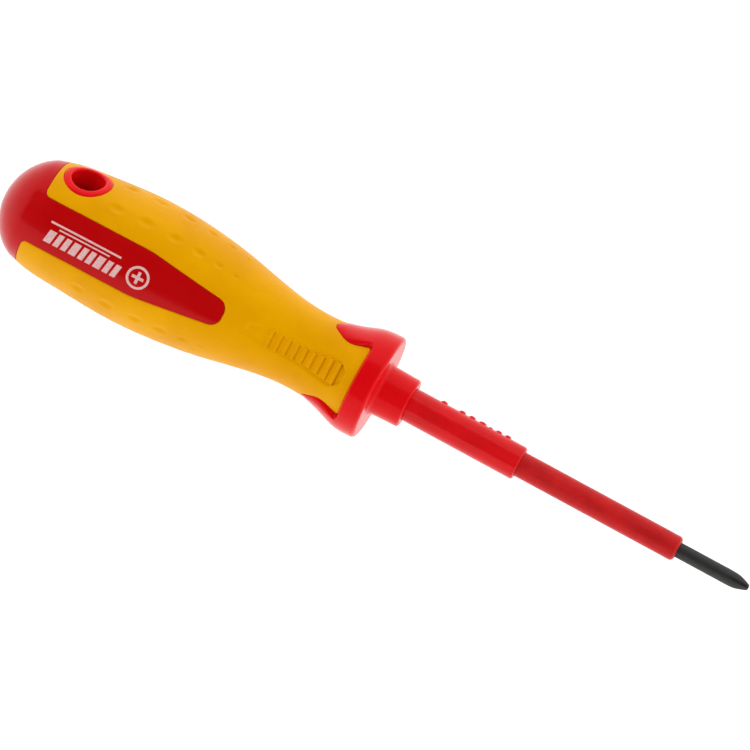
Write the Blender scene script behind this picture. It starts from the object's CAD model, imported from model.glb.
"""Looks of an insulated screwdriver: a red handle with a yellow soft grip, two red sleeves on a
black blade, and a print on one of the handle's panels.

The tool lies along X, its butt at x = 0 and its tip at +X. The hang hole's ringed mouth opens
to +Z. Shapes are worked out in millimetres and meshes are written in metres. Angles run about
+X, from +Z towards -Y.
"""
import math
import bpy
import bmesh
import numpy as np
from mathutils import Matrix, Vector, kdtree
from mathutils.geometry import delaunay_2d_cdt


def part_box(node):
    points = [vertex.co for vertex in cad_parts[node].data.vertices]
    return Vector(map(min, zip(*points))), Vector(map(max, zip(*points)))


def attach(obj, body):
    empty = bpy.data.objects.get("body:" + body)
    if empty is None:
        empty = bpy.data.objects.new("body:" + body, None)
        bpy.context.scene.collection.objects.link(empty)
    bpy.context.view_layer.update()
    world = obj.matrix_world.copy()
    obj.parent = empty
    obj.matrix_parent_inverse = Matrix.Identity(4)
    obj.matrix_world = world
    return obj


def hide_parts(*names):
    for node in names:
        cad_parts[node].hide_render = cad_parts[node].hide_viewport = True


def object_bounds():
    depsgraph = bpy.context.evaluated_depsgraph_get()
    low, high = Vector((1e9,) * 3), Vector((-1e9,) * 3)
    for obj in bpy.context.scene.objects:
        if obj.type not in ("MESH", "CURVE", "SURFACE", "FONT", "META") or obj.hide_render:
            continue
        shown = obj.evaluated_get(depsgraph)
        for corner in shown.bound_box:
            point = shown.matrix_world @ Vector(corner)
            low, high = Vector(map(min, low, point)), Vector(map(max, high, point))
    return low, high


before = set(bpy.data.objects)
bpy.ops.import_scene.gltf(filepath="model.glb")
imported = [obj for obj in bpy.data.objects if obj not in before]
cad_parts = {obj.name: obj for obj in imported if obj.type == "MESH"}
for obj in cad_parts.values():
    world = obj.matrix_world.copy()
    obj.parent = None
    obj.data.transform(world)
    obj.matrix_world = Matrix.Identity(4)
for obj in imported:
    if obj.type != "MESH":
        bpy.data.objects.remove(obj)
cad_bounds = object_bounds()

MM = 0.001
TURN = 2 * math.pi


def box_mm(piece):
    low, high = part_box(piece)
    return np.array(low) / MM, np.array(high) / MM


# ------------------------------------------------------------------ sizes (mm)
(TANG_X, _, _), (TIP_X, _, _) = box_mm("blade")
(SLEEVE_START, _, _), (SLEEVE_END, SLEEVE_R, _) = box_mm("thin_sleeve")
(STEP_START, _, _), (STEP_END, STEP_R, _) = box_mm("step_sleeve")
(GRIP_REAR, _, _), (GRIP_FRONT, _, _) = box_mm("soft_grip")
BOSS_END = box_mm("handle_body")[1][0]
GUARD_FACE = BOSS_END - 6.5
BLADE_R, SHANK_R = 1.5, 1.55
BOSS_R, BOSS_FRONT_R = 5.2, 5.05
DOME_R, BUTT_FLAT_R = 12.3, 2.4

# x, radius of the handle
BODY = ((5.9, 10.42), (9.5, 11.42), (17.0, 12.30), (28.0, 13.02), (39.0, 12.50), (49.0, 11.04),
        (57.5, 9.25), (66.3, 8.20), (71.0, 8.55), (75.0, 9.68), (78.3, 10.78), (80.4, 11.00))
# x, radius of the grip's tongues, which part from the handle's line at the waist
TONGUE = ((57.5, 9.25), (66.3, 8.20), (70.0, 8.30), (73.7, 8.58), (76.0, 9.05), (78.4, 9.60))
DOME_END = BODY[0][0]
RIM_X, GUARD_R = BODY[-1]
WAIST_X = TONGUE[1][0]

# the butt's sections stand off the blade's axis: how far, how quickly that fades, which way
LEAN, LEAN_LENGTH, LEAN_POWER, LEAN_AT = 0.92, 20.0, 1.6, math.radians(139.0)
NECK_LEAN, NECK_LEAN_FADE = 0.26, (74, 86)

SEAM_DEGREES = 240.0           # skins are unrolled from this seam; (x, angle) curves count from it
SEAM = math.radians(SEAM_DEGREES)
HOLE_X, HOLE_R, RING_R = 13.85, 3.38, 4.80
HOLE_TILT = math.radians(-4.0)  # from +Z, about the section's centre
MOUTH_ROUND = 0.45             # rounding of the hole's plain mouth on the -Z side
MOUTH_R = HOLE_R + MOUTH_ROUND
TONGUE_AT = 59.0               # degrees; one thumb tongue is here, the other opposite
TONGUES = (TONGUE_AT, TONGUE_AT + 180.0)
FRONT_ROW, REAR_ROW = 79.4, 6.0  # where the unrolled skins meet the turned ends
GRIP_WALL, GRIP_GAP = 2.0, 0.03
GRIP_EDGE, PANEL_EDGE, PANEL_RECESS = 0.24, 0.14, 0.10   # edge roundings, depth of the panels
FAR_FROM_EDGE = 9.0

STEP = 0.24  # along the edges
AROUND = 240                   # segments round the handle's turned parts
HOLE_AROUND = 128
LOOP_ANGLES = np.arange(AROUND + 1) / AROUND * TURN
TURNED_ANGLES = LOOP_ANGLES[:-1] + SEAM


# ------------------------------------------------------------------ surface functions
class Spline:
    """Natural cubic spline through (x, y) stations."""

    def __init__(self, stations):
        self.x, self.y = np.array(stations, float).T
        count, gap = len(self.x), np.diff(self.x)
        slope = np.diff(self.y) / gap
        system, load = np.eye(count), np.zeros(count)
        for i in range(1, count - 1):
            system[i, i - 1:i + 2] = gap[i - 1], 2 * (gap[i - 1] + gap[i]), gap[i]
            load[i] = 6 * (slope[i] - slope[i - 1])
        self.bend = np.linalg.solve(system, load)

    def __call__(self, x):
        k = np.clip(np.searchsorted(self.x, x) - 1, 0, len(self.x) - 2)
        past, width = x - self.x[k], self.x[k + 1] - self.x[k]
        y0, y1, bend0, bend1 = self.y[k], self.y[k + 1], self.bend[k], self.bend[k + 1]
        slope = (y1 - y0) / width - width * (2 * bend0 + bend1) / 6
        return y0 + past * slope + past * past * bend0 / 2 + past ** 3 * (bend1 - bend0) / (6 * width)


def smoothstep(low, high, x):
    share = np.clip((np.asarray(x, float) - low) / (high - low), 0, 1)
    return share * share * (3 - 2 * share)


body_line, tongue_line = Spline(BODY), Spline(TONGUE)
DOME_CUT = DOME_R - math.sqrt(DOME_R ** 2 - BUTT_FLAT_R ** 2)   # taken off the ball by the flat


def ball_radius(x):
    return np.sqrt(np.maximum(DOME_R ** 2 - (DOME_R - (x + DOME_CUT)) ** 2, 0))


DOME_MISS = BODY[0][1] - ball_radius(DOME_END)   # spread over the dome so it meets the body


def body_radius(x):
    x = np.asarray(x, float)
    dome_x = np.clip(x, 0, DOME_END)
    dome = ball_radius(dome_x) + DOME_MISS * (dome_x / DOME_END) ** 2
    return np.where(x <= DOME_END, dome, body_line(np.clip(x, DOME_END, RIM_X)))


def grip_radius(x):
    x = np.asarray(x, float)
    tongue = tongue_line(np.clip(x, TONGUE[0][0], GRIP_FRONT))
    return np.where(x < WAIST_X, body_radius(x), tongue)


def lean(x):
    """How far the section's centre stands off the blade's axis at x, as (y, z)."""
    x = np.asarray(x, float)
    butt = LEAN * np.exp(-(np.maximum(x, 0) / LEAN_LENGTH) ** LEAN_POWER)
    off = NECK_LEAN * (1 - smoothstep(*NECK_LEAN_FADE, x)) + butt
    return -off * math.sin(LEAN_AT), off * math.cos(LEAN_AT)


def point(x, angle, radius):
    """Points of the handle, round the section's own centre."""
    x, angle, radius = np.broadcast_arrays(np.asarray(x, float), angle, radius)
    centre_y, centre_z = lean(x)
    return np.stack([x, centre_y - radius * np.sin(angle), centre_z + radius * np.cos(angle)], -1)


def axis_point(x, angle, radius):
    """Points round the blade's axis."""
    x, angle, radius = np.broadcast_arrays(x, angle, radius)
    return np.stack([x, -radius * np.sin(angle), radius * np.cos(angle)], -1)


def placed(curve, radius):
    """Points of the handle for (x, angle from the seam)."""
    return point(curve[:, 0], curve[:, 1] + SEAM, radius)


def between(start, end, shares):
    return [start * (1 - share) + end * share for share in shares]


def edge_drop(away, size):
    """How far a rounded edge of that size lies below the surface, at a distance from the edge."""
    share = np.clip(1 - np.asarray(away, float) / size, 0, 1)
    return size * (1 - np.sqrt(np.maximum(1 - share * share, 0)))


def wrap(angle):
    return (np.asarray(angle) + math.pi) % TURN - math.pi


# x, half length
DIMPLES = ((22.0, 1.75), (28.4, 1.85), (34.7, 1.7), (40.1, 1.5), (44.7, 1.2), (48.5, 0.8))
DIMPLE_LINES = [math.radians(field + 16.5 * side) for field in (0.0, 120.0, 240.0)
                for side in (-1, 1)]
DIMPLE_DEPTH, DIMPLE_LIP, DIMPLE_WIDTH = 0.30, 0.035, 0.62   # width is a share of the length

# half widths of the ribs across a thumb rest, from the first rib on at one pitch
RIB_HALF = (1.95, 1.9, 1.8, 1.7, 1.7, 1.8, 2.05, 2.35, 2.55)
RIB_START, RIB_PITCH = 60.1, 1.83
THUMB_REAR, THUMB_REAR_FULL, THUMB_FRONT_FULL, THUMB_FRONT = 54.5, 59.0, 73.4, 76.4
RIB_FOOT = 0.32                # depth of the groove in front of each rib


def thumb_half(x):
    """Half width of a thumb rest at x."""
    def round_end(full, end):
        return np.sqrt(1 - np.clip((x - full) / (end - full), 0, 1) ** 2)

    rear = 2.3 * round_end(THUMB_REAR_FULL, THUMB_REAR)
    grow = 0.85 * smoothstep(66, 74, x)
    return (rear + grow) * round_end(THUMB_FRONT_FULL, THUMB_FRONT)


def rib_height(x, side):
    """Ribs as a share of their height; side is the distance from the rest's middle line."""
    height = np.zeros_like(x)
    for k, half in enumerate(RIB_HALF):
        ahead = x - (RIB_START + RIB_PITCH * k)
        along = 1 - smoothstep(half - 0.25, half + 0.08, side)
        across = smoothstep(-0.85, -0.05, ahead) * (1 - smoothstep(0.06, 0.24, ahead))
        foot = smoothstep(0.08, 0.26, ahead) * (1 - smoothstep(0.30, 0.62, ahead))
        ribbed = np.maximum(height, along * across) - RIB_FOOT * along * foot
        height = np.where(along * (across + foot) > 0, ribbed, height)
    return height


def thumb_relief(x, angle, radius):
    """Depth of the thumb rests below the tongues, with their cross ribs standing back up."""
    relief = np.zeros_like(x)
    half = np.maximum(thumb_half(x), 0.01)
    end = np.minimum((x - THUMB_REAR) * 0.9, (THUMB_FRONT - x) * 1.1)
    depth = 0.32 + 0.06 * smoothstep(60, 72, x) + 0.26 * smoothstep(73, 75.6, x)
    soft = 1.05 - 0.30 * smoothstep(64, 72, x) - 0.25 * smoothstep(72, 75.2, x)
    crest = 0.36 + 0.04 * smoothstep(66, 75, x)      # how far the ribs stand above the floor
    for centre in TONGUES:
        off = wrap(angle - math.radians(centre))
        near = (np.abs(off) < 0.7) & (x > THUMB_REAR) & (x < THUMB_FRONT)
        side = np.abs(radius * np.sin(off))
        inner = np.clip(np.minimum(half - side, end), 0, None)
        sink = depth * smoothstep(0, 1, inner / soft)
        relief += np.where(near, sink - crest * rib_height(x, side), 0)
    return relief


def dimple_relief(x, angle, radius):
    """Depth of the dimples, each with a faint raised lip."""
    relief = np.zeros_like(x)
    for line in DIMPLE_LINES:
        side = radius * wrap(angle - line)
        for dimple_x, half in DIMPLES:
            out = ((x - dimple_x) / half) ** 2 + (side / (half * DIMPLE_WIDTH)) ** 2
            bowl = DIMPLE_DEPTH * min(1, half / 1.5) * np.clip(1 - out, 0, 1) ** 1.5
            relief += np.where(out < 1, bowl, 0)
            lip = DIMPLE_LIP * np.sin(math.pi * (out - 1) / 0.9) ** 2
            relief -= np.where((out >= 1) & (out < 1.9), lip, 0)
    return relief


def grip_skin(curve, away):
    """Radius of the grip's skin; away is the distance from its nearest edge."""
    x, angle = curve[:, 0], curve[:, 1] + SEAM
    base = grip_radius(x)
    return (base - edge_drop(away, GRIP_EDGE) - dimple_relief(x, angle, base)
            - thumb_relief(x, angle, base))


def panel_skin(x, away):
    """Radius of the hard butt and panels."""
    return body_radius(x) - PANEL_RECESS * smoothstep(6.5, 10, x) - edge_drop(away, PANEL_EDGE)


def rise_width(x):
    """Width over which the guard rises from its edge."""
    return 1.5 - 1.05 * smoothstep(75.2, 77.6, x)


def guard_skin(x, away):
    """Radius of the guard and its prongs, which rise roundly from the grip's level."""
    top = body_radius(x)
    low = grip_radius(np.minimum(x, GRIP_FRONT)) - 0.05
    height = np.maximum(top - low, 0.12)
    share = np.clip(away / rise_width(x), 0, 1)
    rise = np.sqrt(np.maximum(1 - (1 - share) ** 2.2, 0))
    return top - height * (1 - rise)


# ------------------------------------------------------------------ outlines
def resample(path, step):
    length = np.linalg.norm(np.diff(path, axis=0), axis=1)
    path = path[np.r_[True, length > 1e-9]]
    run = np.r_[0, np.cumsum(np.linalg.norm(np.diff(path, axis=0), axis=1))]
    count = max(2, int(round(run[-1] / step)))
    along = np.linspace(0, run[-1], count + 1)
    return np.stack([np.interp(along, run, path[:, 0]), np.interp(along, run, path[:, 1])], -1)


def rounded(corners, step):
    """Open path through corners (x, y, fillet radius), evenly resampled."""
    path = [np.array(corners[0][:2], float)]
    for i in range(1, len(corners) - 1):
        corner, radius = np.array(corners[i][:2], float), corners[i][2]
        back = np.array(corners[i - 1][:2]) - corner
        ahead = np.array(corners[i + 1][:2]) - corner
        back, ahead = back / np.linalg.norm(back), ahead / np.linalg.norm(ahead)
        half = math.acos(np.clip(back @ ahead, -1, 1)) / 2
        reach = radius / math.tan(half)
        middle = back + ahead
        centre = corner + middle / np.linalg.norm(middle) * radius / math.sin(half)
        start, end = corner + back * reach - centre, corner + ahead * reach - centre
        sweep = math.atan2(start[0] * end[1] - start[1] * end[0], start @ end)
        count = max(4, int(abs(sweep) * radius / 0.03))
        for k in range(count + 1):
            sin, cos = math.sin(sweep * k / count), math.cos(sweep * k / count)
            path.append(centre + np.array([start[0] * cos - start[1] * sin,
                                           start[0] * sin + start[1] * cos]))
    path.append(np.array(corners[-1][:2], float))
    return resample(np.array(path), step)


def mirrored(half, middle=()):
    return [*half, *middle, *((x, -y, radius) for x, y, radius in half[::-1])]


def shift(curve, offset, closed=False):
    """Curve moved sideways, to the right of its run in (x, radius * angle)."""
    radius = body_radius(curve[:, 0])
    if closed:
        run = np.roll(curve, -1, 0) - np.roll(curve, 1, 0)
    else:
        run = np.empty_like(curve)
        run[1:-1] = curve[2:] - curve[:-2]
        run[0] = run[-1] = (0, 1)
    run[:, 1] *= radius
    run /= np.linalg.norm(run, axis=1)[:, None]
    return np.stack([curve[:, 0] + run[:, 1] * offset,
                     curve[:, 1] - run[:, 0] * offset / radius], -1)


def edge_round(flat_x, corners, centres, radius_at, flat_radius):
    """Edge round the handle, seam to seam, as (x, angle from the seam).

    The path through corners is wrapped on at each centre, with plain runs at flat_x between.
    """
    path = rounded(corners, STEP)
    swing = np.arcsin(np.clip(path[:, 1] / radius_at(path[:, 0]), -0.98, 0.98))

    def plain_run(start, end):
        count = max(2, int(round((end - start) * flat_radius / STEP)))
        return np.stack([np.full(count + 1, flat_x), np.linspace(start, end, count + 1)], -1)

    parts, start = [], 0.0
    for centre in centres:
        part = np.stack([path[:, 0], centre + swing], -1)
        parts += [plain_run(start, part[0, 1])[1 if parts else 0:-1], part]
        start = part[-1, 1]
    parts.append(plain_run(start, TURN)[1:])
    return np.concatenate(parts)


PANEL_TIP_X, PANEL_HALF, PANEL_TIP_HALF = 50.05, 4.97, 2.58
# x, distance from the panel's middle line, fillet radius
PANEL_CORNERS = mirrored([(GRIP_REAR, -8.3, 0), (GRIP_REAR, -PANEL_HALF, 1.1),
                          (32.4, -PANEL_HALF, 26), (PANEL_TIP_X, -PANEL_TIP_HALF, 2.35)])
PANEL_CENTRES = [math.radians(60 + 120 * k) for k in range(3)]
BOW = 0.30                     # the grip's rear edges bow towards the butt between the panels

# x, distance from the prong's middle line, fillet radius
PRONG_CORNERS = mirrored([(GRIP_FRONT, -8.2, 0), (GRIP_FRONT, -6.02, 0.7), (73.5, -5.97, 6.5),
                          (69.9, -3.75, 1.5), (69.9, -2.4, 0.6)], [(71.2, 0, 2.6)])
# the guard's prongs lie a quarter turn from the tongues
PRONG_CENTRES = [math.radians(TONGUE_AT + 270 - SEAM_DEGREES + 180 * k) for k in range(2)]


def rear_edge(grow):
    """Edge between the butt with its panels and the grip. grow moves it into the grip."""
    edge = edge_round(GRIP_REAR, PANEL_CORNERS, PANEL_CENTRES, body_radius, 11.3)
    off = np.abs(wrap(3 * edge[:, 1])) / 3
    fade = 1 - smoothstep(GRIP_REAR + 0.2, GRIP_REAR + 3.0, edge[:, 0])
    edge[:, 0] -= BOW * np.clip(1 - (off / math.radians(36)) ** 2, 0, 1) * fade
    return shift(edge, grow)


def front_edge(grow):
    """Edge between the grip and the guard with its prongs. grow moves it into the grip."""
    return shift(edge_round(GRIP_FRONT, PRONG_CORNERS, PRONG_CENTRES, grip_radius, 9.4), -grow)


def hole_circle(circle_radius, far):
    """Where a circle about the hang hole's axis meets the handle: x, angle and radius there.

    far takes the -Z side.
    """
    turn = np.arange(HOLE_AROUND) / HOLE_AROUND * TURN
    x, across = HOLE_X + circle_radius * np.cos(turn), circle_radius * np.sin(turn)
    centre_y, centre_z = lean(x)
    hole_y, hole_z = lean(HOLE_X)
    off = (centre_y - hole_y) * math.cos(HOLE_TILT) + (centre_z - hole_z) * math.sin(HOLE_TILT)
    radius = panel_skin(x, FAR_FROM_EDGE) if far else body_radius(x)
    across = across - off
    height = np.sqrt(np.maximum(radius ** 2 - across ** 2, 0.01)) * (-1.0 if far else 1.0)
    return x, np.arctan2(-across, height) + HOLE_TILT, radius


def hole_curve(circle_radius, far=False):
    x, angle, _ = hole_circle(circle_radius, far)
    return np.stack([x, (angle - SEAM) % TURN], -1)


def grip_outline(grow=0.0):
    """The grip's rear edge, front edge and hole. grow moves them into the grip."""
    return rear_edge(grow), front_edge(grow), hole_curve(RING_R + grow)


def band(rear, front, step=0.4):
    """Closed outline between two edges that run from seam to seam."""
    count = max(2, int(round((front[0, 0] - rear[0, 0]) / step)))
    xs = np.linspace(rear[0, 0], front[0, 0], count + 1)[1:-1]
    return np.concatenate([rear, np.stack([xs, np.full_like(xs, TURN)], -1), front[::-1],
                           np.stack([xs[::-1], np.zeros_like(xs)], -1)])


# ------------------------------------------------------------------ triangulating the skin
UNROLL = np.array([1, 10.0])   # takes (x, angle) to a flat sheet


def inside(outline, points):
    """Even-odd test of points in a closed outline."""
    result = np.zeros(len(points), bool)
    x0, y0 = outline.T
    x1, y1 = np.roll(x0, -1), np.roll(y0, -1)
    chunk = 4000                # keeps the tables small
    for i in range(0, len(points), chunk):
        x, y = points[i:i + chunk, 0][:, None], points[i:i + chunk, 1][:, None]
        crosses = (y0 > y) != (y1 > y)
        with np.errstate(divide="ignore", invalid="ignore"):
            cross_x = x0 + (y - y0) / (y1 - y0) * (x1 - x0)
        result[i:i + chunk] = (np.sum(crosses & (x < cross_x), axis=1) % 2).astype(bool)
    return result


def on_body(points):
    return point(points[:, 0], points[:, 1], body_radius(points[:, 0]))


def edge_tree(open_curves, closed_curves=()):
    """Search tree of points set densely along the curves."""
    dense = []
    for curve in [*open_curves, *(np.vstack([loop, loop[:1]]) for loop in closed_curves)]:
        lengths = np.linalg.norm(np.diff(curve * UNROLL, axis=0), axis=1)
        for i, length in enumerate(lengths):
            count = max(1, int(length / 0.02))
            share = np.arange(count)[:, None] / count
            dense.append(curve[i] * (1 - share) + curve[i + 1] * share)
        dense.append(curve[-1:])
    dense = on_body(np.concatenate(dense))
    tree = kdtree.KDTree(len(dense))
    for i, place in enumerate(dense):
        tree.insert(place, i)
    tree.balance()
    return tree


def distance(tree, points):
    away = np.array([tree.find(place)[2] for place in on_body(points)])
    return np.where(away < 0.005, 0.0, away)


def patch(outer, holes, points):
    """Triangulates outer less holes, through extra points. Returns points and triangles."""
    verts, edges = [], []
    for loop in [outer] + holes:
        first, count = len(verts), len(loop)
        verts += [Vector(place) for place in loop * UNROLL]
        edges += [(first + i, first + (i + 1) % count) for i in range(count)]
    verts += [Vector(place) for place in points * UNROLL]
    verts, _, faces, _, _, _ = delaunay_2d_cdt(verts, edges, [], 0, 1e-6)
    verts = np.array([(place.x, place.y) for place in verts])
    faces = np.array([face for face in faces if len(face) == 3])
    middles = verts[faces].mean(1)
    wanted = inside(outer * UNROLL, middles)
    for hole in holes:
        wanted &= ~inside(hole * UNROLL, middles)
    faces = faces[wanted]
    used = np.unique(faces)
    new_index = np.full(len(verts), -1)
    new_index[used] = np.arange(len(used))
    return verts[used] / UNROLL, new_index[faces]


def surface_points(tree, x0, x1, spacing, keep, fine=()):
    """Staggered grid over a band, at least keep from the edges.

    fine: (test(x, angle), spacing, x from, x to) for zones with a grid of their own.
    """
    def grid(step, low, high):
        count = int(TURN * 11.0 / step)
        rows = []
        for j, x in enumerate(np.arange(low + step / 2, high, step)):
            angles = (np.arange(count) + (0.5 if j % 2 else 0.0) + 0.25) / count * TURN
            rows.append(np.stack([np.full(count, x), angles], -1))
        return np.concatenate(rows)

    def tested(test, points):
        return test(points[:, 0], points[:, 1] + SEAM)

    base, parts = grid(spacing, x0, x1), []
    for test, step, low, high in fine:
        base = base[~tested(test, base)]
        zone = grid(step, low, high)
        parts.append(zone[tested(test, zone)])
    points = np.concatenate(parts + [base])
    points = points[(points[:, 1] > 0.02) & (points[:, 1] < TURN - 0.02)]
    return points[distance(tree, points) > keep]


def rows_beside(curve, tree, offsets, closed=False, scale=None):
    """Points on curves parallel to curve, where no other part of the edge comes nearer."""
    rows = []
    for offset in offsets:
        away = offset * (scale(curve[:, 0]) if scale else np.ones(len(curve)))
        row = shift(curve, away, closed)
        if not closed:
            row, away = row[1:-1], away[1:-1]
        row = row[distance(tree, row) > np.abs(away) * 0.92]
        rows.append(row[(row[:, 1] > 0.01) & (row[:, 1] < TURN - 0.01)])
    return np.concatenate(rows)


def edge_offsets(size, last):
    """Offsets that follow a rounded edge of that size; the last is in sizes too."""
    return [size * share for share in (0.076, 0.293, 0.617, 1.0, last)]


def under_grip(rear, front, ring, tree):
    """Coarse patch over the whole of the grip, for its inner skin and its pocket."""
    points = surface_points(tree, 7.4, GRIP_FRONT, spacing=1.6, keep=0.9)
    return patch(band(rear, front), [ring], points)


class Builder:
    """Collects patches and makes one closed mesh."""

    def __init__(self):
        self.verts, self.faces, self.count = [], [], 0

    def add(self, verts, faces):
        self.verts.append(np.asarray(verts, float))
        self.faces += [tuple(int(i) + self.count for i in face) for face in faces]
        self.count += len(verts)

    def grid(self, rows, closed=True):
        """Joins rows of points in order; closed joins the ends of each row."""
        n = len(rows[0])
        faces = []
        for j in range(len(rows) - 1):
            for i in range(n if closed else n - 1):
                here, beside = j * n + i, j * n + (i + 1) % n
                faces.append((here, beside, beside + n, here + n))
        self.add(np.concatenate(rows), faces)

    def fan(self, ring, centre):
        n = len(ring)
        self.add(np.vstack([ring, [centre]]), [(i, (i + 1) % n, n) for i in range(n)])

    def make(self, name, sharp=40.0, weld=0.002):
        """sharp: degrees from which an edge is sharp; weld: distance in mm."""
        mesh = bpy.data.meshes.new(name)
        mesh.from_pydata((np.concatenate(self.verts) * MM).tolist(), [], self.faces)
        bm = bmesh.new()
        bm.from_mesh(mesh)
        bmesh.ops.remove_doubles(bm, verts=bm.verts, dist=weld * MM)
        bmesh.ops.dissolve_degenerate(bm, edges=bm.edges, dist=1e-8)
        bmesh.ops.recalc_face_normals(bm, faces=bm.faces)
        bm.to_mesh(mesh)
        bm.free()
        mesh.shade_smooth()
        mesh.set_sharp_from_angle(angle=math.radians(sharp))
        obj = bpy.data.objects.new(name, mesh)
        bpy.context.scene.collection.objects.link(obj)
        return obj


# ------------------------------------------------------------------ soft grip
def in_thumb(x, angle):
    found = np.zeros(len(x), bool)
    for centre in TONGUES:
        side = np.abs(wrap(angle - math.radians(centre)) * 8.4)
        found |= (side < 3.6) & (x > 54.0) & (x < 77.0)
    return found


def in_dimple(x, angle):
    found = np.zeros(len(x), bool)
    radius = body_radius(x)
    for line in DIMPLE_LINES:
        side = wrap(angle - line) * radius
        for dimple_x, half in DIMPLES:
            found |= ((x - dimple_x) / (half * 1.45)) ** 2 + (side / (half * 0.92)) ** 2 < 1
    return found


# test, spacing, x from, x to
FINE_ZONES = ((in_thumb, 0.11, 54, 77.2),
              (in_dimple, 0.24, 19, 50))


def build_grip():
    rear, front, ring = grip_outline(GRIP_GAP)
    tree = edge_tree([rear, front], [ring])
    offsets = edge_offsets(GRIP_EDGE, last=1.7)
    back_offsets = [-offset for offset in offsets]
    points, faces = patch(band(rear, front), [ring], np.concatenate([
        rows_beside(rear, tree, offsets),
        rows_beside(front, tree, back_offsets),
        rows_beside(ring, tree, back_offsets, closed=True),
        surface_points(tree, 7.4, GRIP_FRONT, spacing=0.45, keep=0.6, fine=FINE_ZONES)]))
    grip = Builder()
    grip.add(placed(points, grip_skin(points, distance(tree, points))), faces)

    points, faces = under_grip(rear, front, ring, tree)
    grip.add(placed(points, grip_radius(points[:, 0]) - GRIP_WALL), faces[:, ::-1])
    for curve, closed in ((rear, False), (front, False), (ring, True)):
        top = grip_skin(curve, np.zeros(len(curve)))
        low = grip_radius(curve[:, 0]) - GRIP_WALL
        grip.grid([placed(curve, radius) for radius in between(top, low, (0, 0.12, 0.5, 1))],
                  closed)
    return grip.make("grip")


# ------------------------------------------------------------------ hard handle
def corner_arc(x_end, radius, size, count):
    """Profile points (x, radius) of a rounded front corner, after its first."""
    return [(x_end - size + size * math.sin(turn), radius - size + size * math.cos(turn))
            for turn in np.linspace(0, math.pi / 2, count)[1:]]


def add_panels(handle, rear):
    """The skin of the butt and the panels, with the hang hole's plain mouth cut out."""
    tree = edge_tree([rear])
    mouth = hole_curve(MOUTH_R, far=True)
    row = np.stack([np.full(AROUND + 1, REAR_ROW), LOOP_ANGLES], -1)
    spread = surface_points(tree, REAR_ROW + 0.15, PANEL_TIP_X, spacing=0.45, keep=0.4)
    spread = spread[distance(edge_tree([], [mouth]), spread) > 0.55]
    offsets = [-offset for offset in edge_offsets(PANEL_EDGE, last=2.0)]
    points, faces = patch(band(row, rear), [mouth], np.concatenate([
        rows_beside(rear, tree, offsets),
        hole_curve(MOUTH_R + 0.12, far=True),
        hole_curve(MOUTH_R + 0.35, far=True),
        spread]))
    handle.add(placed(points, panel_skin(points[:, 0], distance(tree, points))), faces)


def add_dome(handle):
    """The butt's dome and its flat end."""
    xs = np.r_[0.0, np.linspace(0.02, 1.0, 12) ** 2 * REAR_ROW]
    rows = [point(x, TURNED_ANGLES, panel_skin(x, FAR_FROM_EDGE)) for x in xs]
    handle.grid(rows)
    middle = np.array([0.0, *lean(0.0)])
    flat = [middle + (rows[0] - middle) * (1 - share) for share in (0.0, 0.35, 0.7)]
    handle.grid(flat)
    handle.fan(flat[-1], middle)


def add_guard(handle, front):
    """The skin of the guard and its prongs."""
    tree = edge_tree([front])
    row = np.stack([np.full(AROUND + 1, FRONT_ROW), LOOP_ANGLES], -1)
    offsets = (0.012, 0.05, 0.11, 0.2, 0.32, 0.47, 0.65, 0.85, 1.1)   # in rise widths
    spread = surface_points(tree, 69.4, FRONT_ROW - 0.1, spacing=0.4, keep=0.0)
    clear = offsets[-1] * rise_width(spread[:, 0]) + 0.15
    spread = spread[distance(tree, spread) > clear]
    beside = rows_beside(front, tree, offsets, scale=rise_width)
    points, faces = patch(band(front, row, 0.35), [], np.concatenate([beside, spread]))
    handle.add(placed(points, guard_skin(points[:, 0], distance(tree, points))), faces)


def add_turned_front(handle):
    """The guard's rim and front face, the neck boss and the stepped socket."""
    rim_round, neck, boss_round = 0.9, 1.1, 0.6
    neck_end, boss_corner = GUARD_FACE + neck, BOSS_END - boss_round
    profile = [(x, float(body_radius(x))) for x in np.linspace(FRONT_ROW, RIM_X, 4)]
    profile += [(x, GUARD_R) for x in np.linspace(RIM_X, GUARD_FACE - rim_round, 4)[1:]]
    profile += corner_arc(GUARD_FACE, GUARD_R, rim_round, 9)
    profile += [(GUARD_FACE, radius)
                for radius in np.linspace(GUARD_R - rim_round, BOSS_R + neck, 8)[1:]]
    profile += [(neck_end - neck * math.cos(turn), BOSS_R + neck - neck * math.sin(turn))
                for turn in np.linspace(0, math.pi / 2, 8)[1:]]
    profile += zip(np.linspace(neck_end, boss_corner, 10)[1:],
                   np.linspace(BOSS_R, BOSS_FRONT_R, 10)[1:])
    profile += corner_arc(BOSS_END, BOSS_FRONT_R, boss_round, 8)
    profile += [(BOSS_END, radius)
                for radius in np.linspace(BOSS_FRONT_R - boss_round, STEP_R + 0.10, 4)[1:]]
    play, behind = 0.05, 0.1    # round the parts in the socket, and behind each
    profile += [(BOSS_END - 0.05, STEP_R + 0.03), (BOSS_END - 1.0, STEP_R + 0.03),
                (STEP_START - behind, STEP_R + play), (STEP_START - behind, SLEEVE_R + play),
                (SLEEVE_START - behind, SLEEVE_R + play), (SLEEVE_START - behind, BLADE_R + play),
                (TANG_X - behind, BLADE_R + play)]
    rows = [point(x, TURNED_ANGLES, radius) for x, radius in profile]
    handle.grid(rows)
    handle.fan(rows[-1], (TANG_X - behind, 0, 0))


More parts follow.
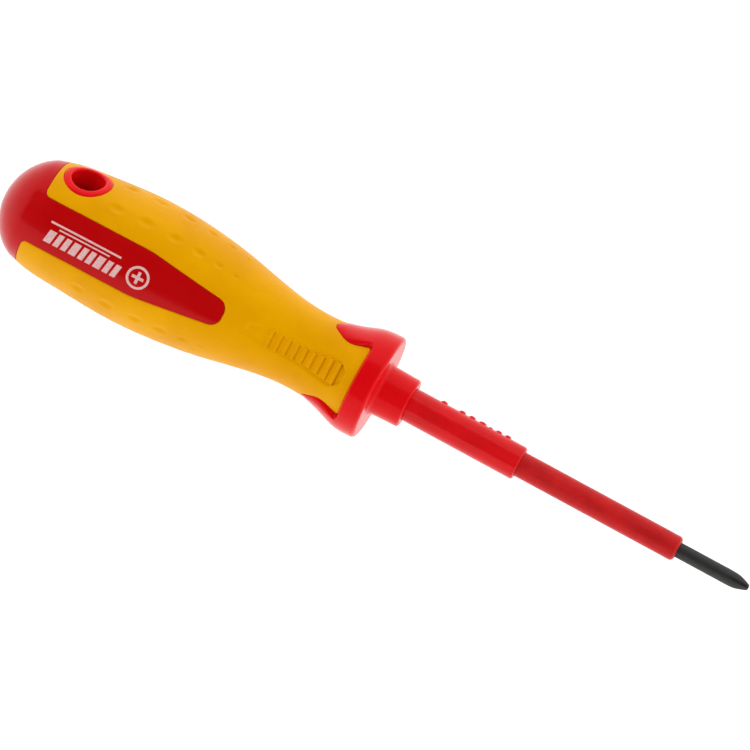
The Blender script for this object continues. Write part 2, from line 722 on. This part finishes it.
# the ring round the hang hole: distance from the hole's axis, height over the handle
RING_PROFILE = (
    (RING_R, -0.30), (RING_R - 0.01, -0.10), (RING_R - 0.05, 0.02), (RING_R - 0.13, 0.11),
    (RING_R - 0.25, 0.17), (RING_R - 0.42, 0.20), (RING_R - 0.65, 0.21), (HOLE_R + 0.56, 0.21),
    (HOLE_R + 0.42, 0.20), (HOLE_R + 0.27, 0.15), (HOLE_R + 0.15, 0.07), (HOLE_R + 0.06, -0.05),
    (HOLE_R + 0.01, -0.20), (HOLE_R, -0.45), (HOLE_R, -0.9))


def hole_row(radius, height, far=False):
    """Circle about the hole's axis, lifted along that axis from the handle's surface."""
    axis = np.array([0.0, -math.sin(HOLE_TILT), math.cos(HOLE_TILT)])
    return point(*hole_circle(radius, far)) + height * axis


def add_hang_hole(handle):
    """The ring, the hole's wall and its rounded plain mouth."""
    ring = [hole_row(radius, height) for radius, height in RING_PROFILE]
    mouth = [hole_row(MOUTH_R - MOUTH_ROUND * (1 - math.cos(turn)), MOUTH_ROUND * math.sin(turn),
                      far=True) for turn in np.linspace(0, math.pi / 2, 7)]
    wall = between(ring[-1], mouth[-1], np.linspace(0, 1, 14)[1:-1])
    handle.grid(ring + wall + mouth[::-1])


def add_pocket(handle, rear, front, ring):
    """The pocket that holds the grip."""
    def floor(curve):
        return placed(curve, grip_radius(curve[:, 0]) - GRIP_WALL - GRIP_GAP)

    points, faces = under_grip(rear, front, ring, edge_tree([rear, front], [ring]))
    handle.add(floor(points), faces)
    walls = ((rear, placed(rear, panel_skin(rear[:, 0], 0.0)), False),
             (front, placed(front, guard_skin(front[:, 0], 0.0)), False),
             (ring, hole_row(*RING_PROFILE[0]), True))
    for curve, top, closed in walls:
        handle.grid(between(top, floor(curve), (0, 0.15, 0.5, 1)), closed)


def build_handle():
    rear, front, ring = grip_outline()
    handle = Builder()
    add_panels(handle, rear)
    add_dome(handle)
    add_guard(handle, front)
    add_turned_front(handle)
    add_hang_hole(handle)
    add_pocket(handle, rear, front, ring)
    return handle.make("handle")


grip = build_grip()
handle = build_handle()
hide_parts("soft_grip")
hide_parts("handle_body")
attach(grip, "root")
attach(handle, "root")


# ------------------------------------------------------------------ insulation sleeves
# a line of raised pads on the thick sleeve: x, half length, share of the full height
BEADS = ((95.2, 0.74, 1.0), (99.2, 0.76, 1.0), (101.4, 0.76, 1.0), (103.7, 0.84, 0.95),
         (105.5, 0.45, 0.5), (107.3, 0.7, 0.9), (109.3, 0.7, 1.0))
BEAD_AT = math.radians(-41.0)
BEAD_HALF_WIDTH, BEAD_HEIGHT = 0.95, 0.42
BEAD_ROWS = (93.8, 110.6, 0.11)   # x from, x to, step


def bead_relief(x, angle):
    side = STEP_R * wrap(angle - BEAD_AT)
    relief = np.zeros_like(angle)
    for bead_x, half, share in BEADS:
        out = ((x - bead_x) / half) ** 2 + (side / BEAD_HALF_WIDTH) ** 2
        relief = np.maximum(relief, BEAD_HEIGHT * share * np.maximum(1 - out, 0) ** 0.62)
    return relief


def build_tube(name, x0, x1, radius, bore, corner, relief=None, fine=None):
    """A closed tube with a rounded front corner; relief(x, angle) raises its skin."""
    count = 144
    angles = np.arange(count) / count * TURN
    xs = [*np.arange(x0, x1 - corner, 2.0), x1 - corner]
    if fine:
        low, high, step = fine
        xs = [x for x in xs if not low < x < high] + list(np.arange(low, high, step))
    rows = [(x, radius + (relief(x, angles) if relief else 0.0)) for x in sorted(xs)]
    rows += corner_arc(x1, radius, corner, 12)
    if radius - corner > bore + 0.12:
        rows.append((x1, bore + 0.10))
    rows.append((x1 - 0.10, bore))
    rows += [(x, bore) for x in np.linspace(x1 - 0.8, x0 + 0.1, 8)]
    rows += [(x0, bore + 0.1), rows[0]]
    tube = Builder()
    tube.grid([axis_point(x, angles, row_radius) for x, row_radius in rows])
    return tube.make(name, sharp=50)


thin = build_tube("thin_tube", SLEEVE_START, SLEEVE_END, radius=SLEEVE_R, bore=BLADE_R + 0.1,
                  corner=0.84)
thick = build_tube("thick_tube", STEP_START, STEP_END, radius=STEP_R, bore=SLEEVE_R + 0.03,
                   corner=0.55, relief=bead_relief, fine=BEAD_ROWS)


# ------------------------------------------------------------------ blade
# distance back from the tip, radius before the flutes are cut
BLADE_PROFILE = ((0.0, 0.34), (0.05, 0.50), (0.16, 0.62), (0.32, 0.70), (0.9, 0.94), (1.7, 1.24),
                 (2.4, 1.44), (3.2, 1.52), (4.6, SHANK_R), (200.0, SHANK_R))
WINGS = ((32.0, 41.0), (50.0, 59.0))   # x from, x to of the flattened wings inside the handle
WING_HALF_Y, WING_HALF_Z = 0.65, 2.5
TANG_CHAMFER = 0.4
FLUTE_POINTS, LAND_POINTS = 9, 7       # in half a flute and half a land


def blade_ring(x):
    """One section of the blade: four flutes on the diagonals, and the wings."""
    radius = float(np.interp(TIP_X - x, *zip(*BLADE_PROFILE)))
    radius -= max(0.0, TANG_CHAMFER - (x - TANG_X))
    line = 0.26 + (TIP_X + 0.4 - x) / 6.4 * 1.46     # how far out the flute's bottom line lies
    ratio = min(line / radius, 0.985)
    crease = math.acos(ratio / math.sqrt(2)) - math.pi / 4
    wing = any(start <= x <= end for start, end in WINGS)
    half = np.r_[np.linspace(0, crease, FLUTE_POINTS)[:-1],
                 np.linspace(crease, math.pi / 4, LAND_POINTS)]
    ring = []
    for k in range(4):
        for off in np.r_[-half[:0:-1], half[:-1]]:
            angle, out = math.radians(45 + 90 * k) + off, radius
            if line < radius and abs(off) < crease:
                soft = math.sqrt(math.sin(off) ** 2 + 0.0025) - 0.05
                out = min(radius, line / (math.cos(off) - soft))
            if wing:
                out = max(out, min(WING_HALF_Y / max(abs(math.sin(angle)), 1e-6),
                                   WING_HALF_Z / max(abs(math.cos(angle)), 1e-6)))
            ring.append((x, -out * math.sin(angle), out * math.cos(angle)))
    return np.array(ring)


def build_blade():
    back = np.r_[0.0, 0.02, 0.05, 0.10, 0.16, 0.24, 0.32, np.arange(0.5, 7.2, 0.14), 9, 12, 16, 24]
    stations = list(TIP_X - back)
    for start, end in WINGS:
        stations += [start - 0.02, start + 0.02, (start + end) / 2, end - 0.02, end + 0.02]
    stations += list(np.linspace(64, TIP_X - 26, 12))
    stations += [TANG_X + TANG_CHAMFER, TANG_X + 0.15, TANG_X]
    rows = [blade_ring(x) for x in sorted(stations)]
    blade = Builder()
    blade.grid(rows)
    blade.fan(rows[-1], (TIP_X, 0, 0))
    blade.fan(rows[0][::-1], (TANG_X, 0, 0))
    return blade.make("rod", sharp=28)


rod = build_blade()
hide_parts("thin_sleeve")
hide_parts("step_sleeve")
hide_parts("blade")
for piece, slot in ((thin, "thin_insulation"), (thick, "thick_insulation"), (rod, "blade_steel")):
    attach(piece, "root")


# ------------------------------------------------------------------ pad print on one panel
PRINT_AT = math.radians(60.0)
INK_PROUD, INK_SUNK = 0.035, 0.06
# plain ring with a cross in it; x, distance across the panel
CROSS_X, CROSS_Y, CROSS_ARM_HALF = 32.2, 0.85, 0.30
CROSS_STEPS = np.array([-1.25, -0.93, -0.62, -0.30, 0.0, 0.30, 0.62, 0.93, 1.25])
CIRCLE_INNER, CIRCLE_OUTER = 1.85, 2.35
BAR_START, BAR_COUNT, BAR_GAP = 12.6, 9, 0.55
BAR_Y, BAR_SLANT = (0.35, 3.05), -0.55
RULES = ((12.0, 27.6, -1.35, -0.95), (14.2, 25.4, -0.50, -0.20))   # x from, to; across from, to


def add_flake(ink, grid, solid=None, ring=False):
    """A thin closed flake with the panel's curve.

    grid holds (x, distance across the panel); solid marks the cells used.
    """
    m, n = grid.shape[0] - 1, grid.shape[1] - 1
    if solid is None:
        solid = np.ones((m, n), bool)
    x, across = grid.reshape(-1, 2).T
    radius = panel_skin(x, FAR_FROM_EDGE)

    def lifted(height):
        return point(x, PRINT_AT + across / radius, radius + height)

    under, faces = len(x), []
    for i in range(m):
        for j in range(n):
            if not solid[i, j]:
                continue
            near, near_next = i * (n + 1) + j, i * (n + 1) + j + 1
            far, far_next = near + n + 1, near_next + n + 1
            top = (near, near_next, far_next, far)
            faces += [top, tuple(corner + under for corner in top[::-1])]
            for di, dj, start, end in ((-1, 0, near, near_next), (1, 0, far_next, far),
                                       (0, 1, near_next, far_next), (0, -1, far, near)):
                ii, jj = i + di, (j + dj) % n if ring else j + dj
                if not (0 <= ii < m and 0 <= jj < n and solid[ii, jj]):
                    faces.append((start, start + under, end + under, end))
    used, faces = np.unique(np.array(faces), return_inverse=True)
    ink.add(np.vstack([lifted(INK_PROUD), lifted(-INK_SUNK)])[used], faces.reshape(-1, 4))


def bar_grid(x0, x1, y0, y1, slant=0.0):
    xs, ys = (np.linspace(low, high, max(2, int((high - low) / 0.35)) + 1)
              for low, high in ((x0, x1), (y0, y1)))
    x, y = np.meshgrid(xs, ys, indexing="ij")
    return np.stack([x + slant * (y - y0) / (y1 - y0), y], -1)


def build_print():
    ink = Builder()
    radius, turn = np.meshgrid(np.linspace(CIRCLE_INNER, CIRCLE_OUTER, 3),
                               np.linspace(0, TURN, 73), indexing="ij")
    add_flake(ink, np.stack([CROSS_X + radius * np.cos(turn), CROSS_Y + radius * np.sin(turn)], -1),
              ring=True)
    x, y = np.meshgrid(CROSS_X + CROSS_STEPS, CROSS_Y + CROSS_STEPS, indexing="ij")
    arm = np.abs((CROSS_STEPS[1:] + CROSS_STEPS[:-1]) / 2) < CROSS_ARM_HALF
    add_flake(ink, np.stack([x, y], -1), solid=arm[:, None] | arm[None, :])
    # a row of slanted bars, every third one wide, and two thin rules beside them
    start = BAR_START
    for k in range(BAR_COUNT):
        wide = 1.15 if k % 3 else 1.55
        add_flake(ink, bar_grid(start, start + wide, *BAR_Y, BAR_SLANT))
        start += wide + BAR_GAP
    for rule in RULES:
        add_flake(ink, bar_grid(*rule))
    return ink.make("print", sharp=30, weld=0.0005)


mark = build_print()
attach(mark, "root")


# ------------------------------------------------------------------ materials (lengths in metres)
class Graph:
    """Strings shader nodes together in one node tree."""

    def __init__(self, tree):
        self.tree = tree

    def node(self, kind, **props):
        node = self.tree.nodes.new(kind)
        for name, value in props.items():
            setattr(node, name, value)
        return node

    def put(self, value, socket):
        if isinstance(value, bpy.types.NodeSocket):
            self.tree.links.new(value, socket)
        else:
            socket.default_value = value

    def math(self, operation, a, b=0.0):
        node = self.node("ShaderNodeMath", operation=operation)
        self.put(a, node.inputs[0])
        self.put(b, node.inputs[1])
        return node.outputs[0]

    def vector(self, operation, a, b=None, output="Vector"):
        node = self.node("ShaderNodeVectorMath", operation=operation)
        self.put(a, node.inputs[0])
        if b is not None:
            self.put(b, node.inputs[1])
        return node.outputs[output]

    def remap(self, value, span, to=(0.0, 1.0), smooth=False):
        node = self.node("ShaderNodeMapRange")
        if smooth:
            node.interpolation_type = "SMOOTHSTEP"
        for name, number in zip(("From Min", "From Max", "To Min", "To Max"), (*span, *to)):
            node.inputs[name].default_value = number
        self.put(value, node.inputs["Value"])
        return node.outputs["Result"]


class Material(Graph):
    """A Principled material with textures in object space."""

    def __init__(self, name):
        self.material = bpy.data.materials.new(name)
        self.material.use_nodes = True
        super().__init__(self.material.node_tree)
        self.place = self.node("ShaderNodeTexCoord").outputs["Object"]

    def stretch(self, scale):
        node = self.node("ShaderNodeMapping")
        node.inputs["Scale"].default_value = scale
        self.put(self.place, node.inputs["Vector"])
        return node.outputs[0]

    def noise(self, scale, detail=3.0, stretch=None, rough=0.5, warp=0.0):
        vector = self.stretch(stretch) if stretch else self.place
        node = self.node("ShaderNodeTexNoise")
        for name, value in (("Scale", scale), ("Detail", detail), ("Roughness", rough),
                            ("Distortion", warp), ("Vector", vector)):
            self.put(value, node.inputs[name])
        return node.outputs["Fac"]

    def mix(self, factor, a, b):
        node = self.node("ShaderNodeMix", data_type="RGBA", blend_type="MIX")
        self.put(factor, node.inputs[0])
        for value, socket in ((a, node.inputs[6]), (b, node.inputs[7])):
            self.put((*value, 1) if isinstance(value, tuple) else value, socket)
        return node.outputs[2]

    def axis(self, index):
        node = self.node("ShaderNodeSeparateXYZ")
        self.put(self.place, node.inputs[0])
        return node.outputs[index]

    def pointiness(self):
        return self.node("ShaderNodeNewGeometry").outputs["Pointiness"]

    def bump(self, height, strength, distance, after=None):
        node = self.node("ShaderNodeBump")
        node.inputs["Strength"].default_value = strength
        node.inputs["Distance"].default_value = distance
        self.put(height, node.inputs["Height"])
        if after is not None:
            self.put(after, node.inputs["Normal"])
        return node.outputs["Normal"]

    def finish(self, color, rough, normal, values):
        shader = self.tree.nodes["Principled BSDF"]
        for name, value in {"Base Color": color, "Roughness": rough, "Normal": normal,
                            **values}.items():
            self.put(value, shader.inputs[name])
        return self.material


def red_handle():
    butt_red, middle_red, guard_red = (0.62, 0.0030, 0.0050), (0.565, 0.0008, 0.0018), (0.86, 0.0016, 0.0052)
    ring_red, cloud_red = (0.93, 0.0060, 0.0090), (0.42, 0.0, 0.002)
    m = Material("red_moulded")
    x = m.axis(0)
    front = m.remap(x, span=(0.052, 0.076), smooth=True)
    butt = m.remap(x, span=(0.004, 0.014), to=(1.0, 0.0), smooth=True)
    color = m.mix(front, m.mix(butt, middle_red, butt_red), guard_red)
    # the ring round the hang hole is brighter
    ring_z = 12.0
    ring_y = float(lean(HOLE_X)[0]) + math.tan(-HOLE_TILT) * ring_z
    off = m.vector("SUBTRACT", m.place, (HOLE_X * MM, ring_y * MM, ring_z * MM))
    away = m.vector("LENGTH", m.vector("MULTIPLY", off, (1, 1, 0.1)), output="Value")
    near = m.remap(away, span=(0.0049, 0.0053), to=(1.0, 0.0), smooth=True)
    above = m.remap(m.axis(2), span=(0.004, 0.009), smooth=True)
    color = m.mix(m.math("MULTIPLY", near, above), color, ring_red)
    cloud = m.noise(scale=140, detail=3, warp=0.4)
    color = m.mix(m.remap(cloud, span=(0.3, 0.7), to=(0.0, 0.16)), color, cloud_red)
    # the guard's face and the boss are smooth and of even gloss
    smear = m.noise(scale=420, detail=5, stretch=(0.35, 1, 1), rough=0.6)
    rough = m.remap(smear, span=(0.3, 0.72), to=(0.15, 0.27))
    even, even_rough = m.remap(x, span=(0.0815, 0.0828), smooth=True), 0.26
    rough = m.math("ADD", m.math("MULTIPLY", rough, m.math("SUBTRACT", 1.0, even)),
                   m.math("MULTIPLY", even, even_rough))
    textured = m.remap(x, span=(0.0805, 0.0822), to=(1.0, 0.0), smooth=True)
    peel = m.bump(m.math("MULTIPLY", m.noise(scale=700, detail=2), textured),
                  strength=0.022, distance=0.00004)
    fine = m.bump(m.math("MULTIPLY", m.noise(scale=5200, detail=3, rough=0.7), textured),
                  strength=0.02, distance=0.00001, after=peel)
    return m.finish(color, rough, fine, {
        "Specular IOR Level": 0.34, "Specular Tint": (1.0, 0.30, 0.32, 1),
        "Coat Weight": 0.06, "Coat Roughness": 0.12})


def yellow_grip():
    light, dark = (0.925, 0.428, 0.0), (0.845, 0.364, 0.0)
    grime_brown, groove_brown = (0.55, 0.20, 0.0), (0.52, 0.19, 0.0)
    m = Material("soft_yellow")
    cloud = m.noise(scale=95, detail=4, warp=0.6)
    color = m.mix(m.remap(cloud, span=(0.32, 0.7)), light, dark)
    grime = m.noise(scale=330, detail=6, stretch=(0.5, 1, 1), rough=0.65)
    color = m.mix(m.remap(grime, span=(0.56, 0.8), to=(0.0, 0.14)), color, grime_brown)
    # handling grime left in the grooves
    groove = m.remap(m.pointiness(), span=(0.485, 0.43), to=(0.0, 0.55), smooth=True)
    color = m.mix(groove, color, groove_brown)
    rough = m.remap(m.noise(scale=700, detail=4), span=(0.3, 0.7), to=(0.40, 0.56))
    grain = m.bump(m.noise(scale=4200, detail=4, rough=0.75), strength=0.16, distance=0.00002)
    wave = m.bump(m.noise(scale=260, detail=2), strength=0.06, distance=0.0001, after=grain)
    return m.finish(color, rough, wave, {
        "Specular IOR Level": 0.26, "Specular Tint": (1.0, 0.60, 0.0, 1)})


def sleeve_red(name, light, dark, gloss, mottle, specular, coat):
    """gloss: least and greatest roughness; mottle: scale of the clouds."""
    m = Material(name)
    streak = m.noise(scale=900, detail=3, stretch=(0.05, 1, 1), rough=0.6)
    cloud = m.noise(scale=mottle, detail=5, stretch=(0.6, 1, 1), rough=0.6, warp=0.3)
    color = m.mix(m.remap(cloud, span=(0.35, 0.68)), light, dark)
    streak_color = tuple(channel * 0.72 for channel in dark)
    color = m.mix(m.remap(streak, span=(0.45, 0.75), to=(0.0, 0.35)), color, streak_color)
    patches = m.noise(scale=1300, detail=4, stretch=(0.2, 1, 1))
    rough = m.remap(patches, span=(0.3, 0.7), to=gloss)
    line = m.bump(m.noise(scale=2600, detail=2, stretch=(0.02, 1, 1)),
                  strength=0.12, distance=0.00003)
    fine = m.bump(m.noise(scale=6000, detail=3, rough=0.7),
                  strength=0.08, distance=0.00001, after=line)
    return m.finish(color, rough, fine, {
        "Specular IOR Level": specular, "Specular Tint": (1.0, 0.38, 0.38, 1),
        "Coat Weight": coat, "Coat Roughness": 0.15})


def black_steel():
    light, dark, bare = (0.038, 0.038, 0.036), (0.025, 0.025, 0.025), (0.17, 0.165, 0.155)
    m = Material("black_oxide")
    cloud = m.noise(scale=700, detail=5, stretch=(0.4, 1, 1), rough=0.65, warp=0.5)
    color = m.mix(m.remap(cloud, span=(0.3, 0.7)), light, dark)
    # worn bright where edges stand out at the tip
    edge = m.remap(m.pointiness(), span=(0.53, 0.60), smooth=True)
    tip = m.remap(m.axis(0), span=(TIP_X * MM - 0.006, TIP_X * MM - 0.001), smooth=True)
    speck = m.remap(m.noise(scale=3200, detail=4), span=(0.40, 0.62), smooth=True)
    worn = m.math("MULTIPLY", m.math("MULTIPLY", edge, tip), speck)
    wear_share = 0.8
    color = m.mix(m.math("MULTIPLY", worn, wear_share), color, bare)
    patches = m.noise(scale=1600, detail=4, stretch=(0.3, 1, 1))
    rough = m.remap(patches, span=(0.3, 0.7), to=(0.42, 0.60))
    grind = m.bump(m.noise(scale=3200, detail=2, stretch=(1, 0.06, 0.06)),
                   strength=0.14, distance=0.00002)
    pits = m.bump(m.noise(scale=5200, detail=4, rough=0.7),
                  strength=0.12, distance=0.00001, after=grind)
    return m.finish(color, rough, pits, {"Metallic": 0.15, "Specular IOR Level": 0.45})


def white_ink():
    ink, worn_ink = (0.88, 0.60, 0.58), (0.74, 0.16, 0.16)
    m = Material("pad_ink")
    wear = m.noise(scale=2400, detail=5, rough=0.7)
    color = m.mix(m.remap(wear, span=(0.35, 0.62), to=(0.40, 0.0)), ink, worn_ink)
    rough = m.remap(m.noise(scale=1800, detail=3), span=(0.3, 0.7), to=(0.40, 0.55))
    return m.finish(color, rough, m.bump(wear, strength=0.10, distance=0.00001),
                    {"Specular IOR Level": 0.25})


grip.data.materials.append(yellow_grip())
handle.data.materials.append(red_handle())
thin.data.materials.append(sleeve_red(
    "dull_red_tube", light=(0.68, 0.015, 0.015), dark=(0.53, 0.011, 0.013),
    gloss=(0.28, 0.42), mottle=420, specular=0.30, coat=0.0))
thick.data.materials.append(sleeve_red(
    "red_tube", light=(0.84, 0.0065, 0.0100), dark=(0.68, 0.0055, 0.0085),
    gloss=(0.14, 0.24), mottle=240, specular=0.36, coat=0.1))
rod.data.materials.append(black_steel())
mark.data.materials.append(white_ink())

# ------------------------------------------------------------------ world, floor, camera
scene = bpy.context.scene
scene.view_settings.view_transform = "Standard"
VIEW_AT = math.radians(49.2)   # the camera's angle about the tool
TO_CAMERA = (0, -math.sin(VIEW_AT), math.cos(VIEW_AT))
ACROSS_VIEW = (0, -math.cos(VIEW_AT), -math.sin(VIEW_AT))


def build_world():
    """A white tent with a dark opening on the camera's side that runs on along the tool."""
    world = bpy.data.worlds.new("studio")
    scene.world = world
    world.use_nodes = True
    g = Graph(world.node_tree)
    incoming = g.node("ShaderNodeNewGeometry").outputs["Incoming"]

    def towards(axis):
        return g.math("MULTIPLY", g.vector("DOT_PRODUCT", incoming, axis, output="Value"), -1.0)

    along = towards((1, 0, 0))
    up, side = towards(TO_CAMERA), towards(ACROSS_VIEW)
    turn = g.math("ABSOLUTE", g.math("ARCTAN2", side, up))
    beside = g.remap(turn, span=(math.radians(38), math.radians(46)), smooth=True)
    butt_end = g.remap(along, span=(-0.90, -0.70), to=(1.0, 0.0), smooth=True)
    tip_end = g.remap(along, span=(0.55, 0.80), smooth=True)
    white = g.math("MAXIMUM", g.math("MAXIMUM", beside, butt_end), tip_end)
    diffuse = g.node("ShaderNodeLightPath").outputs["Is Diffuse Ray"]

    def strength(base, diffuse_extra):
        return g.math("ADD", g.math("MULTIPLY", diffuse, diffuse_extra), base)

    dark, bright = strength(base=0.03, diffuse_extra=0.50), strength(base=1.02, diffuse_extra=0.20)
    light = g.math("ADD", dark, g.math("MULTIPLY", white, g.math("SUBTRACT", bright, dark)))
    background = g.tree.nodes["Background"]
    g.put(light, background.inputs["Strength"])
    background.inputs["Color"].default_value = (1.0, 0.995, 0.985, 1)


def build_floor():
    """A glowing pale floor below the tool (metres)."""
    mesh = bpy.data.meshes.new("floor")
    bm = bmesh.new()
    bmesh.ops.create_grid(bm, x_segments=1, y_segments=1, size=3.0)
    bm.to_mesh(mesh)
    bm.free()
    floor = bpy.data.objects.new("floor", mesh)
    scene.collection.objects.link(floor)
    middle_x, drop = 0.08, 0.04
    floor.location = (middle_x, 0, cad_bounds[0][2] - drop)
    material = bpy.data.materials.new("floor_white")
    material.use_nodes = True
    shader = material.node_tree.nodes["Principled BSDF"]
    for name, value in {"Base Color": (0.60, 0.60, 0.60, 1), "Roughness": 0.9,
                        "Specular IOR Level": 0.0, "Emission Color": (1, 1, 1, 1),
                        "Emission Strength": 0.60}.items():
        shader.inputs[name].default_value = value
    mesh.materials.append(material)


CAMERA_DISTANCE, CAMERA_PIVOT_X = 1650.0, 82.5   # mm
CAMERA_TO_TIP = math.radians(5.9)                # swung towards the tip about the pivot
CAMERA_ROLL = math.radians(28.45)
TARGET_X, TARGET_ACROSS = 80.594, -1.8           # mm
LENS, SENSOR = 406.7316, 36.0                    # mm


def build_camera():
    """Long lens, rolled so that the tool lies aslant."""
    swing = (math.cos(CAMERA_TO_TIP) * np.array(TO_CAMERA)
             + math.sin(CAMERA_TO_TIP) * np.array([1.0, 0, 0]))
    place = np.array([CAMERA_PIVOT_X, 0, 0]) + CAMERA_DISTANCE * swing
    target = np.array([TARGET_X, 0, 0]) + np.array(ACROSS_VIEW) * TARGET_ACROSS
    forward = (target - place) / np.linalg.norm(target - place)
    level = np.array([1.0, 0, 0]) - forward * forward[0]
    level /= np.linalg.norm(level)
    below = np.cross(forward, level)
    right = math.cos(CAMERA_ROLL) * level - math.sin(CAMERA_ROLL) * below
    down = math.sin(CAMERA_ROLL) * level + math.cos(CAMERA_ROLL) * below
    data = bpy.data.cameras.new("camera")
    data.sensor_width, data.lens = SENSOR, LENS
    data.clip_start, data.clip_end = 0.05, 20.0
    camera = bpy.data.objects.new("camera", data)
    scene.collection.objects.link(camera)
    matrix = Matrix((right, -down, -forward)).transposed().to_4x4()
    matrix.translation = Vector(place * MM)
    camera.matrix_world = matrix
    scene.camera = camera


build_world()
build_floor()
build_camera()
